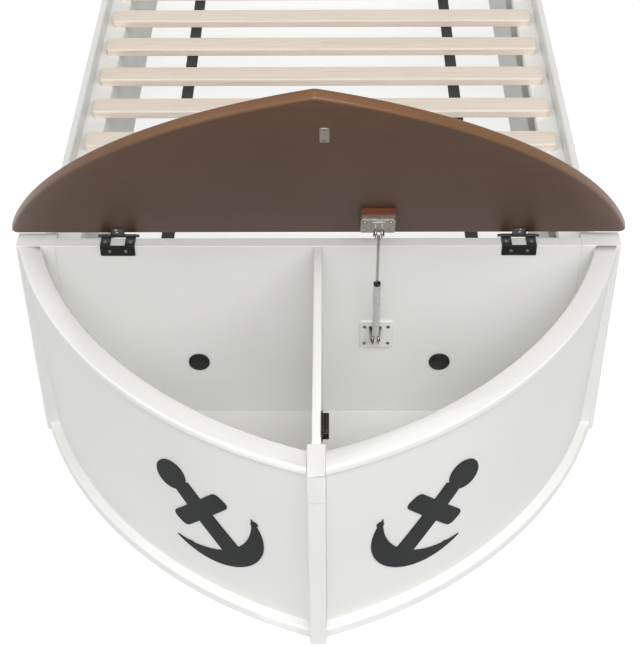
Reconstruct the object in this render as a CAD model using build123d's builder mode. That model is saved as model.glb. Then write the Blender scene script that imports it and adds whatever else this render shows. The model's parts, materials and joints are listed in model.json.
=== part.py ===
from build123d import *
from math import atan2, cos, degrees, hypot, radians, sin, sqrt
import os

# Captain's bed with a boat-shaped storage bow at its foot.
# Millimetres, +Z up, head end toward +Y, bow toward -Y, origin under the middle of the whole bed.
os.makedirs("parts", exist_ok=True)

# Driving sizes of the bed
half_width = 540.0
bay_length = 1930.0
bow_reach = 587.0
headboard_depth = 42.0
overall_length = bow_reach + bay_length + headboard_depth
wall_y = bow_reach - overall_length / 2
head_y = wall_y + bay_length
sides = ((-1, "left"), (1, "right"))

# Bow box: two curved, flared sides between a raked stem and two corner posts
box_height = 456.0
stem_half = 14.5
rim_radius = 800.0
rim_reach = 572.0
rim_depth = 40.0
rim_thickness = 12.0
base_radius = 831.0
base_reach = 531.0
base_depth = 50.0
base_height = 20.0
panel_thickness = 12.0
panel_inset_top = 5.0
panel_inset_base = 18.0
rim_underside = box_height - rim_thickness
edge_round = 4.0

# Wall between the bow box and the mattress bay
wall_front = wall_y - 22.0
wall_back = wall_y + 2.0
post_inner = 470.0
post_back = wall_y + 18.0

# Stem, raked forward, with a cap block at its top
stem_foot_y = wall_y - 547.0
stem_top_y = wall_y - 585.5
stem_depth = 68.0
cap_height = 65.0
cap_proud = 1.5

# Box floor, divider and vents
floor_underside = 40.0
floor_top = 52.0
divider_thickness = 15.0
divider_top = 454.0
vent_x = 228.0
vent_z = 180.0
vent_hole = 17.0
vent_ring_bore = 15.0
vent_flange = 20.0
vent_lip = 3.0
vent_depth = 18.0

# Lid and its hinges; the lid is drawn shut in its own plane, which stands open by lid_open degrees
lid_open = 55.0
hinge_y = wall_y + 5.0
hinge_z = 459.0
lid_underside = 460.0
lid_thickness = 19.0
lid_half = 549.0
lid_back_y = wall_y - 8.0
lid_reach = 602.0
lid_radius = 900.0
lid_nose = 3.0
lid_corner = 12.0
lid_edge_round = 5.0
hinge_x = 358.0
leaf_thickness = 2.0
knuckle_radius = 3.2
hinge_pin_radius = 1.8
hinge_clearance = 0.05
hinge_half = 31.0
hinge_window_half = 13.0
hinge_flange_drop = 20.0
leaf_reach = 43.0
screw_head = 3.2
screw_head_height = 1.2

# Magnetic catch and its strike
catch_y = wall_y - 473.0
catch_x = 13.5
strike_length = 56.0
strike_width = 15.0
strike_thickness = 1.5
catch_top = lid_underside - strike_thickness - 0.3

# Gas strut; pivots as (y, z), the upper one with the lid shut
strut_x = 105.0
lower_pivot = (wall_y - 42.0, 252.0)
upper_pivot_shut = (wall_y - 100.0, 428.0)
tube_radius = 6.5
tube_bore = 5.5
tube_foot = 15.0
tube_top = 150.0
rod_radius = 3.0
rod_clearance = 0.05
strut_pin_radius = 2.5
eye_thickness = 5.0
cheek_gap = 9.0
cheek_thickness = 2.0
wall_plate_width = 61.0
wall_plate_height = 64.0
wall_plate_thickness = 4.0
wall_plate_z = 250.0
lid_plate_width = 60.0
lid_plate_thickness = 2.0

# Side rails, slat ledges, plinths and slats
rail_inner = 525.0
rail_top = 311.0
rail_bottom = 135.0
ledge_inner = 478.0
ledge_top = 272.0
ledge_thickness = 20.0
plinth_outer = 494.0
plinth_top_right = 193.0
slat_count = 13
slat_pitch = 136.0
slat_first_y = wall_y + 143.0
slat_width = 57.0
slat_thickness = 18.0
slat_half = 510.0
strap_x = 304.0
strap_width = 26.0
strap_thickness = 2.0

# Headboard
headboard_top = 760.0
headboard_arch = 60.0
headboard_rail = 110.0
headboard_panel_thickness = 18.0
post_top = 800.0


def circle_centre(radius, reach, nose):
    """Centre of the right-hand plan arc, from the back corner to the nose."""
    run = half_width - nose
    chord = hypot(run, reach)
    rise = sqrt(radius**2 - chord**2 / 4)
    x = (half_width + nose) / 2 - rise * reach / chord
    y = wall_y - reach / 2 + rise * run / chord
    return x, y


def arc_x(centre, radius, y):
    return centre[0] + sqrt(radius**2 - (y - centre[1]) ** 2)


def arc_y(centre, radius, x):
    return centre[1] - sqrt(radius**2 - (x - centre[0]) ** 2)


def hull_band(side, centre, outer, inner, back):
    """A curved strip of one hull side in plan, between the stem and the line y = back."""
    with Locations((side * centre[0], centre[1])):
        Circle(outer)
        Circle(inner, mode=Mode.SUBTRACT)
    span = half_width + 20 - stem_half
    depth = back - wall_y + 700
    with Locations((side * (stem_half + span / 2), back - depth / 2)):
        Rectangle(span, depth, mode=Mode.INTERSECT)


def facing(x, y, z, direction):
    """A place for a screw head on a face that looks along direction."""
    return Plane((x, y, z), z_dir=direction)


rim_centre = circle_centre(rim_radius, rim_reach, stem_half)
base_centre = circle_centre(base_radius, base_reach, stem_half)
panel_top_radius = rim_radius - panel_inset_top
panel_base_radius = base_radius - panel_inset_base
floor_radius = panel_base_radius - panel_thickness

# Lid frame: x across the bed, y toward the head when shut, z up when shut, origin on the hinge axis
tilt = radians(lid_open)
lid_plane = Plane((0, hinge_y, hinge_z), x_dir=(1, 0, 0), z_dir=(0, sin(tilt), cos(tilt)))
lid_side_plane = Plane((0, hinge_y, hinge_z), x_dir=lid_plane.y_dir, z_dir=(1, 0, 0))

# Strut frame: z from the lower pivot toward the upper pivot with the lid open
shut_y = upper_pivot_shut[0] - hinge_y
shut_z = upper_pivot_shut[1] - hinge_z
upper_y = hinge_y + shut_y * cos(tilt) + shut_z * sin(tilt)
upper_z = hinge_z - shut_y * sin(tilt) + shut_z * cos(tilt)
open_run = upper_y - lower_pivot[0]
open_rise = upper_z - lower_pivot[1]
open_length = hypot(open_run, open_rise)
shut_run = upper_pivot_shut[0] - lower_pivot[0]
shut_rise = upper_pivot_shut[1] - lower_pivot[1]
shut_length = hypot(shut_run, shut_rise)
strut_swing = degrees(atan2(-shut_run, shut_rise) - atan2(-open_run, open_rise))
strut_plane = Plane(
    (strut_x, lower_pivot[0], lower_pivot[1]), x_dir=(1, 0, 0), z_dir=(0, open_run, open_rise)
)
strut_side_plane = Plane(
    (strut_x, lower_pivot[0], lower_pivot[1]), x_dir=strut_plane.y_dir, z_dir=(1, 0, 0)
)
print(f"strut {open_length:.1f} open, {shut_length:.1f} shut, swings {strut_swing:.2f} degrees")

# Hull sides: base rail, flared panel and flat rim rail
for side, hand in sides:
    with BuildPart() as base_rail:
        with BuildSketch():
            hull_band(side, base_centre, base_radius, base_radius - base_depth, wall_front)
        extrude(amount=base_height)
        base_top_edges = base_rail.edges().filter_by(GeomType.CIRCLE).group_by(Axis.Z)[-1]
        fillet(base_top_edges.sort_by(SortBy.RADIUS)[-1], edge_round)
    base_rail.part.label = f"base_rail_{hand}"
    export_step(base_rail.part, f"parts/base_rail_{hand}.step")

    with BuildPart() as hull_panel:
        with BuildSketch(Plane.XY.offset(base_height)):
            inner = panel_base_radius - panel_thickness
            hull_band(side, base_centre, panel_base_radius, inner, wall_front)
        with BuildSketch(Plane.XY.offset(rim_underside)):
            inner = panel_top_radius - panel_thickness
            hull_band(side, rim_centre, panel_top_radius, inner, wall_front)
        loft(ruled=True)
    hull_panel.part.label = f"hull_panel_{hand}"
    export_step(hull_panel.part, f"parts/hull_panel_{hand}.step")

    with BuildPart() as rim_rail:
        with BuildSketch(Plane.XY.offset(rim_underside)):
            hull_band(side, rim_centre, rim_radius, rim_radius - rim_depth, wall_front)
        extrude(amount=rim_thickness)
        fillet(rim_rail.edges().filter_by(GeomType.CIRCLE).group_by(Axis.Z)[-1], edge_round)
    rim_rail.part.label = f"rim_rail_{hand}"
    export_step(rim_rail.part, f"parts/rim_rail_{hand}.step")

# Stem: one raked post, its front upright edges rounded
cap_seam = box_height - cap_height
stem_rake = (stem_foot_y - stem_top_y) / box_height
seam_y = stem_foot_y - stem_rake * cap_seam
with BuildPart() as stem:
    with BuildSketch(Plane.YZ):
        Polygon(
            (stem_foot_y, 0), (stem_foot_y + stem_depth, 0),
            (seam_y + stem_depth, cap_seam), (seam_y, cap_seam), align=None,
        )
    extrude(amount=stem_half, both=True)
    front = stem.faces().sort_by(Axis.Y)[0]
    fillet(front.edges().filter_by(lambda e: e.length > cap_height), edge_round)
stem.part.label = "stem"
export_step(stem.part, "parts/stem.step")

with BuildPart() as stem_cap:
    with BuildSketch(Plane.YZ):
        Polygon(
            (seam_y - cap_proud, cap_seam), (seam_y + stem_depth, cap_seam),
            (stem_top_y + stem_depth, box_height), (stem_top_y - cap_proud, box_height), align=None,
        )
    extrude(amount=stem_half, both=True)
    front = stem_cap.faces().sort_by(Axis.Y)[0]
    fillet(front.edges().filter_by(lambda e: e.length > 2 * stem_half + 1), edge_round)
    chamfer(stem_cap.faces().sort_by(Axis.Z)[-1].edges().sort_by(Axis.Y)[0], 1)
stem_cap.part.label = "stem_cap"
export_step(stem_cap.part, "parts/stem_cap.step")

# Corner posts behind the hull sides
for side, hand in sides:
    with BuildPart() as corner_post:
        with BuildSketch():
            with Locations((side * (post_inner + half_width) / 2, (wall_front + post_back) / 2)):
                Rectangle(half_width - post_inner, post_back - wall_front)
        extrude(amount=box_height)
        outer_face = corner_post.faces().sort_by(Axis.X)[-1 if side > 0 else 0]
        fillet(outer_face.edges().filter_by(Axis.Z), edge_round)
    corner_post.part.label = f"corner_post_{hand}"
    export_step(corner_post.part, f"parts/corner_post_{hand}.step")

# Bulkhead with two vent holes
with BuildPart() as bulkhead:
    with BuildSketch(Plane((0, wall_back, box_height / 2), x_dir=(1, 0, 0), z_dir=(0, -1, 0))):
        Rectangle(2 * post_inner, box_height)
        with Locations((vent_x, vent_z - box_height / 2), (-vent_x, vent_z - box_height / 2)):
            Circle(vent_hole, mode=Mode.SUBTRACT)
    extrude(amount=wall_back - wall_front)
bulkhead.part.label = "bulkhead"
export_step(bulkhead.part, "parts/bulkhead.step")

# Round black vents pressed into the bulkhead: a flanged ring and a domed cap with a lifting tab
front_align = (Align.CENTER, Align.CENTER, Align.MIN)
vent_planes = [facing(side * vent_x, wall_front, vent_z, (0, -1, 0)) for side, hand in sides]
with BuildPart() as vent_rings:
    with Locations(*vent_planes):
        Cylinder(vent_flange, vent_lip, align=front_align)
    with Locations(*[plane.offset(-vent_depth) for plane in vent_planes]):
        Cylinder(vent_hole, vent_depth, align=front_align)
        Cylinder(vent_ring_bore, vent_depth + vent_lip, align=front_align, mode=Mode.SUBTRACT)
    fillet(vent_rings.edges().filter_by(GeomType.CIRCLE).group_by(Axis.Y)[0], 1)
vent_rings.part.label = "vent_rings"
export_step(vent_rings.part, "parts/vent_rings.step")

cap_behind = 1.0
cap_proud_of_ring = 1.5
tab_angle = 62.0
tab_half = 3.5
tab_root, tab_shoulder, tab_tip = 9.0, 17.0, 23.0
with BuildPart() as vent_caps:
    with Locations(*[plane.offset(-cap_behind) for plane in vent_planes]):
        Cylinder(vent_ring_bore, cap_behind + vent_lip + cap_proud_of_ring, align=front_align)
    fillet(vent_caps.edges().filter_by(GeomType.CIRCLE).group_by(Axis.Y)[0], cap_proud_of_ring)
    for side, hand in sides:
        tab_plane = Plane((side * vent_x, wall_front - vent_lip, vent_z), x_dir=(1, 0, 0), z_dir=(0, -1, 0))
        with BuildSketch(tab_plane):
            with Locations(Location((0, 0, 0), (0, 0, tab_angle))):
                Polygon(
                    (tab_root, -tab_half), (tab_shoulder, -tab_half), (tab_tip, 0),
                    (tab_shoulder, tab_half), (tab_root, tab_half), align=None,
                )
        extrude(amount=cap_proud_of_ring)
vent_caps.part.label = "vent_caps"
export_step(vent_caps.part, "parts/vent_caps.step")

# Box floor on two battens, notched round the stem
notch_half = stem_half + 1
notch_y = stem_foot_y + stem_depth + 1
floor_back_x = arc_x(base_centre, floor_radius, wall_front)
floor_nose_y = arc_y(base_centre, floor_radius, notch_half)
with BuildPart() as box_floor:
    with BuildSketch(Plane.XY.offset(floor_underside)):
        with BuildLine():
            Line((-floor_back_x, wall_front), (floor_back_x, wall_front))
            RadiusArc((floor_back_x, wall_front), (notch_half, floor_nose_y), floor_radius)
            Polyline(
                (notch_half, floor_nose_y), (notch_half, notch_y),
                (-notch_half, notch_y), (-notch_half, floor_nose_y),
            )
            RadiusArc((-notch_half, floor_nose_y), (-floor_back_x, wall_front), floor_radius)
        make_face()
    extrude(amount=floor_top - floor_underside)
box_floor.part.label = "box_floor"
export_step(box_floor.part, "parts/box_floor.step")

batten_width = 40.0
batten_height = floor_underside - base_height
middle_y = wall_front - bow_reach / 2
middle_half = arc_x(base_centre, floor_radius, middle_y - batten_width / 2) - 2
with BuildPart() as floor_battens:
    with BuildSketch(Plane.XY.offset(base_height)):
        with Locations((0, wall_front - batten_width / 2)):
            Rectangle(2 * post_inner, batten_width)
        with Locations((0, middle_y)):
            Rectangle(2 * middle_half, batten_width)
    extrude(amount=batten_height)
floor_battens.part.label = "floor_battens"
export_step(floor_battens.part, "parts/floor_battens.step")

# Divider between the two compartments, its front edge along the raked stem
divider_foot_y = stem_foot_y + stem_depth - stem_rake * floor_top
divider_head_y = stem_foot_y + stem_depth - stem_rake * divider_top
with BuildPart() as divider:
    with BuildSketch(Plane.YZ):
        Polygon(
            (wall_front, floor_top), (wall_front, divider_top),
            (divider_head_y, divider_top), (divider_foot_y, floor_top), align=None,
        )
    extrude(amount=divider_thickness / 2, both=True)
    fillet(divider.faces().sort_by(Axis.Z)[-1].edges().filter_by(Axis.Y), 2)
divider.part.label = "divider"
export_step(divider.part, "parts/divider.step")

# Anchors: flat ornaments bent round the hull panels, each leaning with its head toward the post
anchor_skin = 2.0
anchor_angle = radians(57.2)
anchor_z = 237.0
anchor_lean = 42.0
anchor_cross_lean = 10.0
head_across, head_along, head_up = 30.0, 33.0, 84.0
shank_width, shank_length, shank_drop = 44.0, 184.0, 28.0
stock_length, stock_width, stock_corner = 140.0, 36.0, 14.0
arms_radius, arms_drop = 100.0, 39.0
arms_hollow_radius, arms_hollow_rise = 140.0, 40.0
share = (anchor_z - base_height) / (rim_underside - base_height)
anchor_radius = panel_base_radius + (panel_top_radius - panel_base_radius) * share
anchor_centre_x = base_centre[0] + (rim_centre[0] - base_centre[0]) * share
anchor_centre_y = base_centre[1] + (rim_centre[1] - base_centre[1]) * share
lean = radians(anchor_lean)
anchor_plane = Plane(
    (
        anchor_centre_x + anchor_radius * cos(anchor_angle),
        anchor_centre_y - anchor_radius * sin(anchor_angle),
        anchor_z,
    ),
    x_dir=(cos(lean) * sin(anchor_angle), cos(lean) * cos(anchor_angle), -sin(lean)),
    z_dir=(cos(anchor_angle), -sin(anchor_angle), 0),
)
with BuildPart() as anchor_right:
    with BuildSketch(Plane.XY.offset(base_height)):
        outer = panel_base_radius + anchor_skin
        hull_band(1, base_centre, outer, panel_base_radius, wall_front)
    with BuildSketch(Plane.XY.offset(rim_underside)):
        outer = panel_top_radius + anchor_skin
        hull_band(1, rim_centre, outer, panel_top_radius, wall_front)
    loft(ruled=True)
    with BuildSketch(anchor_plane):
        with Locations(Location((0, 0, 0), (0, 0, -anchor_cross_lean))):
            with Locations((0, -arms_drop)):
                Circle(arms_radius)
            with Locations((0, arms_hollow_rise)):
                Circle(arms_hollow_radius, mode=Mode.SUBTRACT)
            RectangleRounded(stock_length, stock_width, stock_corner)
        with Locations((0, -shank_drop)):
            Rectangle(shank_width, shank_length)
        with Locations((0, head_up)):
            Ellipse(head_across, head_along)
    extrude(amount=arms_radius, both=True, mode=Mode.INTERSECT)
anchor_right.part.label = "anchor_right"
export_step(anchor_right.part, "parts/anchor_right.step")

with BuildPart() as anchor_left:
    mirror(anchor_right.part, about=Plane.YZ)
anchor_left.part.label = "anchor_left"
export_step(anchor_left.part, "parts/anchor_left.step")

# Lid: a pointed board, corners and edges rounded
lid_back = lid_back_y - hinge_y
lid_tip = wall_y - lid_reach - hinge_y
lid_level = lid_underside - hinge_z
with BuildPart() as lid:
    with BuildSketch(lid_plane.offset(lid_level)):
        with BuildLine():
            Line((-lid_half, lid_back), (lid_half, lid_back))
            RadiusArc((lid_half, lid_back), (lid_nose, lid_tip), lid_radius)
            Line((lid_nose, lid_tip), (-lid_nose, lid_tip))
            RadiusArc((-lid_nose, lid_tip), (-lid_half, lid_back), lid_radius)
        outline = make_face()
        fillet(outline.vertices(), lid_corner)
    extrude(amount=lid_thickness)
    broad = lid.faces().sort_by(SortBy.AREA)[-2:]
    fillet(broad.edges(), lid_edge_round)
lid.part.label = "lid"
export_step(lid.part, "parts/lid.step")

# Hinges: a leaf wrapped over the bulkhead, a leaf under the lid, and a pin through both
pin_head_radius = 2.6
pin_head_length = 6.0
knuckle_bore = hinge_pin_radius + hinge_clearance
for side, hand in sides:
    centre_x = side * hinge_x
    knuckle_plane = Plane((centre_x, hinge_y, hinge_z), x_dir=(0, 1, 0), z_dir=(1, 0, 0))
    leg_x = (hinge_half + hinge_window_half) / 2
    leg_width = hinge_half - hinge_window_half
    with BuildPart() as hinge_base:
        with BuildSketch(Plane.XY.offset(box_height)):
            span = hinge_y - wall_front + leaf_thickness
            with Locations((centre_x, hinge_y - span / 2)):
                with GridLocations(2 * leg_x, 1, 2, 1):
                    Rectangle(leg_width, span)
        extrude(amount=leaf_thickness)
        with BuildSketch(Plane((centre_x, wall_front, box_height), x_dir=(1, 0, 0), z_dir=(0, -1, 0))):
            with Locations((0, (leaf_thickness - hinge_flange_drop) / 2)):
                RectangleRounded(2 * hinge_half, hinge_flange_drop + leaf_thickness, 2)
        extrude(amount=leaf_thickness)
        for leg in (-leg_x, leg_x):
            with BuildSketch(knuckle_plane.offset(leg)):
                Circle(knuckle_radius)
            extrude(amount=leg_width / 2, both=True)
        with BuildSketch(knuckle_plane):
            Circle(hinge_pin_radius)
        extrude(amount=hinge_half + 1, both=True, mode=Mode.SUBTRACT)
    hinge_base.part.label = f"hinge_base_{hand}"
    export_step(hinge_base.part, f"parts/hinge_base_{hand}.step")

    with BuildPart() as hinge_pin:
        with BuildSketch(knuckle_plane):
            Circle(hinge_pin_radius)
        extrude(amount=hinge_half, both=True)
        for end in (-1, 1):
            with BuildSketch(knuckle_plane.offset(end * (hinge_half + pin_head_length / 2))):
                Circle(pin_head_radius)
            extrude(amount=pin_head_length / 2, both=True)
    hinge_pin.part.label = f"hinge_pin_{hand}"
    export_step(hinge_pin.part, f"parts/hinge_pin_{hand}.step")

    leaf_half = hinge_window_half - 0.5
    with BuildPart() as hinge_leaf:
        with BuildSketch(lid_plane.offset(lid_level - leaf_thickness)):
            with Locations((centre_x, -leaf_reach / 2)):
                Rectangle(2 * leaf_half, leaf_reach)
        extrude(amount=leaf_thickness)
        with BuildSketch(knuckle_plane):
            Circle(knuckle_radius)
        extrude(amount=leaf_half, both=True)
        with BuildSketch(knuckle_plane):
            Circle(knuckle_bore)
        extrude(amount=leaf_half + 1, both=True, mode=Mode.SUBTRACT)
    hinge_leaf.part.label = f"hinge_leaf_{hand}"
    export_step(hinge_leaf.part, f"parts/hinge_leaf_{hand}.step")

# Screws of the fixed hinge leaves: two on top of the wall and two on its front face
top_screw_x = 22.5
front_screw_x = 14.5
top_screw_y = wall_y - 12
front_screw_z = box_height - 10
lid_screw_rows = (-22.0, -35.0)
with BuildPart() as hinge_wall_screws:
    for side, hand in sides:
        for reach in (-1, 1):
            top_x = side * hinge_x + reach * top_screw_x
            front_x = side * hinge_x + reach * front_screw_x
            top = facing(top_x, top_screw_y, box_height + leaf_thickness, (0, 0, 1))
            front = facing(front_x, wall_front - leaf_thickness, front_screw_z, (0, -1, 0))
            with Locations(top, front):
                Cylinder(screw_head, screw_head_height, align=front_align)
hinge_wall_screws.part.label = "hinge_wall_screws"
export_step(hinge_wall_screws.part, "parts/hinge_wall_screws.step")

with BuildPart() as hinge_lid_screws:
    with BuildSketch(lid_plane.offset(lid_level - leaf_thickness)):
        with Locations(*[(side * hinge_x, row) for side, hand in sides for row in lid_screw_rows]):
            Circle(screw_head)
    extrude(amount=-screw_head_height)
hinge_lid_screws.part.label = "hinge_lid_screws"
export_step(hinge_lid_screws.part, "parts/hinge_lid_screws.step")

# Magnetic catch on the divider: a housing on a flange, with two steel poles that meet the strike
catch_length = 46.0
catch_flange_length = 58.0
catch_height = 14.0
catch_flange_thickness = 2.0
catch_housing_width = 10.0
pole_thickness, pole_length, pole_depth, pole_proud = 1.6, 38.0, 10.0, 1.2
pole_spacing = 5.0
catch_housing_top = catch_top - pole_proud
catch_middle_z = catch_housing_top - catch_height / 2
side_face = divider_thickness / 2
with BuildPart() as catch_housing:
    with BuildSketch(Plane.YZ.offset(side_face)):
        with Locations((catch_y, catch_middle_z)):
            RectangleRounded(catch_flange_length, catch_height, 3)
    extrude(amount=catch_flange_thickness)
    with BuildSketch(Plane.YZ.offset(side_face + catch_flange_thickness)):
        with Locations((catch_y, catch_middle_z)):
            RectangleRounded(catch_length, catch_height, 1.5)
    extrude(amount=catch_housing_width)
    with BuildSketch(Plane.XY.offset(catch_housing_top)):
        with Locations((catch_x, catch_y)):
            with GridLocations(pole_spacing, 1, 2, 1):
                Rectangle(pole_thickness, pole_length)
    extrude(amount=-pole_depth, mode=Mode.SUBTRACT)
catch_housing.part.label = "catch_housing"
export_step(catch_housing.part, "parts/catch_housing.step")

with BuildPart() as catch_poles:
    with BuildSketch(Plane.XY.offset(catch_housing_top - pole_depth)):
        with Locations((catch_x, catch_y)):
            with GridLocations(pole_spacing, 1, 2, 1):
                Rectangle(pole_thickness, pole_length)
    extrude(amount=pole_depth + pole_proud)
catch_poles.part.label = "catch_poles"
export_step(catch_poles.part, "parts/catch_poles.step")

strike_hole = 2.0
strike_hole_inset = 7.0
with BuildPart() as strike_plate:
    with BuildSketch(lid_plane.offset(lid_level - strike_thickness)):
        with Locations((catch_x, catch_y - hinge_y)):
            RectangleRounded(strike_width, strike_length, 3)
            with GridLocations(1, strike_length - 2 * strike_hole_inset, 1, 2):
                Circle(strike_hole, mode=Mode.SUBTRACT)
    extrude(amount=strike_thickness)
strike_plate.part.label = "strike_plate"
export_step(strike_plate.part, "parts/strike_plate.step")

# Strut, wall end: a plate on the bulkhead and a forked bracket with its pin
wall_plate_x = strut_x + 2
with BuildPart() as strut_wall_plate:
    with BuildSketch(Plane((wall_plate_x, wall_front, wall_plate_z), x_dir=(1, 0, 0), z_dir=(0, -1, 0))):
        RectangleRounded(wall_plate_width, wall_plate_height, 5)
    extrude(amount=wall_plate_thickness)
    chamfer(strut_wall_plate.faces().sort_by(Axis.Y)[0].edges(), 1)
strut_wall_plate.part.label = "strut_wall_plate"
export_step(strut_wall_plate.part, "parts/strut_wall_plate.step")

wall_plate_face = wall_front - wall_plate_thickness
fork_outer = cheek_gap / 2 + cheek_thickness
fork_half = 14.0
fork_tip_half = 6.0
fork_top, fork_waist, fork_tip = 16.0, 6.0, -20.0
cheek_radius = 7.0
with BuildPart() as strut_wall_fork:
    with BuildSketch(Plane((strut_x, wall_plate_face, wall_plate_z), x_dir=(1, 0, 0), z_dir=(0, -1, 0))):
        Polygon(
            (-fork_half, fork_top), (fork_half, fork_top), (fork_half, fork_waist),
            (fork_tip_half, fork_tip), (-fork_tip_half, fork_tip), (-fork_half, fork_waist), align=None,
        )
    extrude(amount=cheek_thickness)
    pivot_y, pivot_z = lower_pivot
    for cheek in (-fork_outer, cheek_gap / 2):
        with BuildSketch(Plane((strut_x + cheek, 0, 0), x_dir=(0, 1, 0), z_dir=(1, 0, 0))):
            with BuildLine():
                Polyline(
                    (pivot_y, pivot_z + cheek_radius), (wall_plate_face, wall_plate_z + fork_top),
                    (wall_plate_face, pivot_z - cheek_radius - 5), (pivot_y, pivot_z - cheek_radius),
                )
                ThreePointArc(
                    (pivot_y, pivot_z - cheek_radius), (pivot_y - cheek_radius, pivot_z),
                    (pivot_y, pivot_z + cheek_radius),
                )
            make_face()
            with Locations(lower_pivot):
                Circle(strut_pin_radius, mode=Mode.SUBTRACT)
        extrude(amount=cheek_thickness)
strut_wall_fork.part.label = "strut_wall_fork"
export_step(strut_wall_fork.part, "parts/strut_wall_fork.step")

rivet_head = 3.7
rivet_head_length = 2.0
with BuildPart() as strut_wall_pin:
    with BuildSketch(strut_side_plane):
        Circle(strut_pin_radius)
    extrude(amount=fork_outer, both=True)
    for end in (-1, 1):
        with BuildSketch(strut_side_plane.offset(end * (fork_outer + rivet_head_length / 2))):
            Circle(rivet_head)
        extrude(amount=rivet_head_length / 2, both=True)
strut_wall_pin.part.label = "strut_wall_pin"
export_step(strut_wall_pin.part, "parts/strut_wall_pin.step")

# Strut tube with its eye at the foot and a black gland at the top
eye_radius = 6.5
tube_end_thickness = 6.0
tube_bore_foot = tube_foot + tube_end_thickness
with BuildPart() as strut_tube:
    with BuildSketch(strut_plane.offset(tube_foot)):
        Circle(tube_radius)
    extrude(amount=tube_top - tube_foot)
    with BuildSketch(strut_plane.offset(tube_bore_foot)):
        Circle(tube_bore)
    extrude(amount=tube_top - tube_bore_foot, mode=Mode.SUBTRACT)
    with BuildSketch(strut_side_plane):
        Circle(eye_radius)
        with Locations((0, tube_foot / 2)):
            Rectangle(2 * tube_bore, tube_foot + 1)
    extrude(amount=eye_thickness / 2, both=True)
    with BuildSketch(strut_side_plane):
        Circle(strut_pin_radius + hinge_clearance)
    extrude(amount=eye_thickness, both=True, mode=Mode.SUBTRACT)
strut_tube.part.label = "strut_tube"
export_step(strut_tube.part, "parts/strut_tube.step")

gland_depth = 10.0
gland_proud = 4.0
with BuildPart() as strut_gland:
    with BuildSketch(strut_plane.offset(tube_top - gland_depth)):
        Circle(tube_bore)
    extrude(amount=gland_depth)
    with BuildSketch(strut_plane.offset(tube_top)):
        Circle(tube_radius)
    extrude(amount=gland_proud)
    with BuildSketch(strut_plane.offset(tube_top - gland_depth)):
        Circle(rod_radius + rod_clearance)
    extrude(amount=gland_depth + gland_proud, mode=Mode.SUBTRACT)
strut_gland.part.label = "strut_gland"
export_step(strut_gland.part, "parts/strut_gland.step")

# Strut rod: a piston inside the tube, and an eye with its pin at the lid
piston_thickness = 8.0
piston_z = tube_top - gland_depth - piston_thickness
neck_width = 8.0
neck_length = 10.0
eye_centre = strut_plane.from_local_coords((0, 0, open_length))
eye_plane = Plane(eye_centre, x_dir=strut_plane.y_dir, z_dir=(1, 0, 0))
with BuildPart() as strut_rod:
    with BuildSketch(strut_plane.offset(piston_z)):
        Circle(rod_radius)
    extrude(amount=open_length - piston_z - eye_radius / 2)
    with BuildSketch(eye_plane):
        Circle(eye_radius)
        with Locations((0, -eye_radius - neck_length / 3)):
            Rectangle(neck_width, neck_length)
    extrude(amount=eye_thickness / 2, both=True)
    with BuildSketch(eye_plane):
        Circle(strut_pin_radius)
    extrude(amount=eye_thickness, both=True, mode=Mode.SUBTRACT)
strut_rod.part.label = "strut_rod"
export_step(strut_rod.part, "parts/strut_rod.step")

with BuildPart() as strut_piston:
    with BuildSketch(strut_plane.offset(piston_z - piston_thickness)):
        Circle(tube_bore - rod_clearance)
    extrude(amount=piston_thickness)
strut_piston.part.label = "strut_piston"
export_step(strut_piston.part, "parts/strut_piston.step")

# The lid pin reaches through both slotted cheeks and ends in flat heads 1 mm outside them
lid_pin_half = fork_outer + 1
lid_pin_head = 5.0
lid_pin_head_length = 2.0
with BuildPart() as strut_lid_pin:
    with BuildSketch(eye_plane):
        Circle(strut_pin_radius)
    extrude(amount=lid_pin_half, both=True)
    for end in (-1, 1):
        with BuildSketch(eye_plane.offset(end * (lid_pin_half + lid_pin_head_length / 2))):
            Circle(lid_pin_head)
        extrude(amount=lid_pin_head_length / 2, both=True)
strut_lid_pin.part.label = "strut_lid_pin"
export_step(strut_lid_pin.part, "parts/strut_lid_pin.step")

# Strut, lid end: a spacer block, a plate on its lower half, and a fork whose slots guide the pin
spacer_x = strut_x - 1
spacer_thickness = 13.0
spacer_from = wall_y - 143.0 - hinge_y
spacer_to = wall_y - 53.0 - hinge_y
spacer_level = lid_level - spacer_thickness
with BuildPart() as strut_spacer:
    with BuildSketch(lid_plane.offset(spacer_level)):
        with Locations((spacer_x, (spacer_from + spacer_to) / 2)):
            Rectangle(lid_plate_width, spacer_to - spacer_from)
    extrude(amount=spacer_thickness)
strut_spacer.part.label = "strut_spacer"
export_step(strut_spacer.part, "parts/strut_spacer.step")

lid_plate_from = wall_y - 122.0 - hinge_y
lid_plate_middle = (lid_plate_from + spacer_to) / 2
lid_plate_level = spacer_level - lid_plate_thickness
with BuildPart() as strut_lid_plate:
    with BuildSketch(lid_plane.offset(lid_plate_level)):
        with Locations((spacer_x, lid_plate_middle)):
            RectangleRounded(lid_plate_width, spacer_to - lid_plate_from, 4)
    extrude(amount=lid_plate_thickness)
strut_lid_plate.part.label = "strut_lid_plate"
export_step(strut_lid_plate.part, "parts/strut_lid_plate.step")

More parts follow.
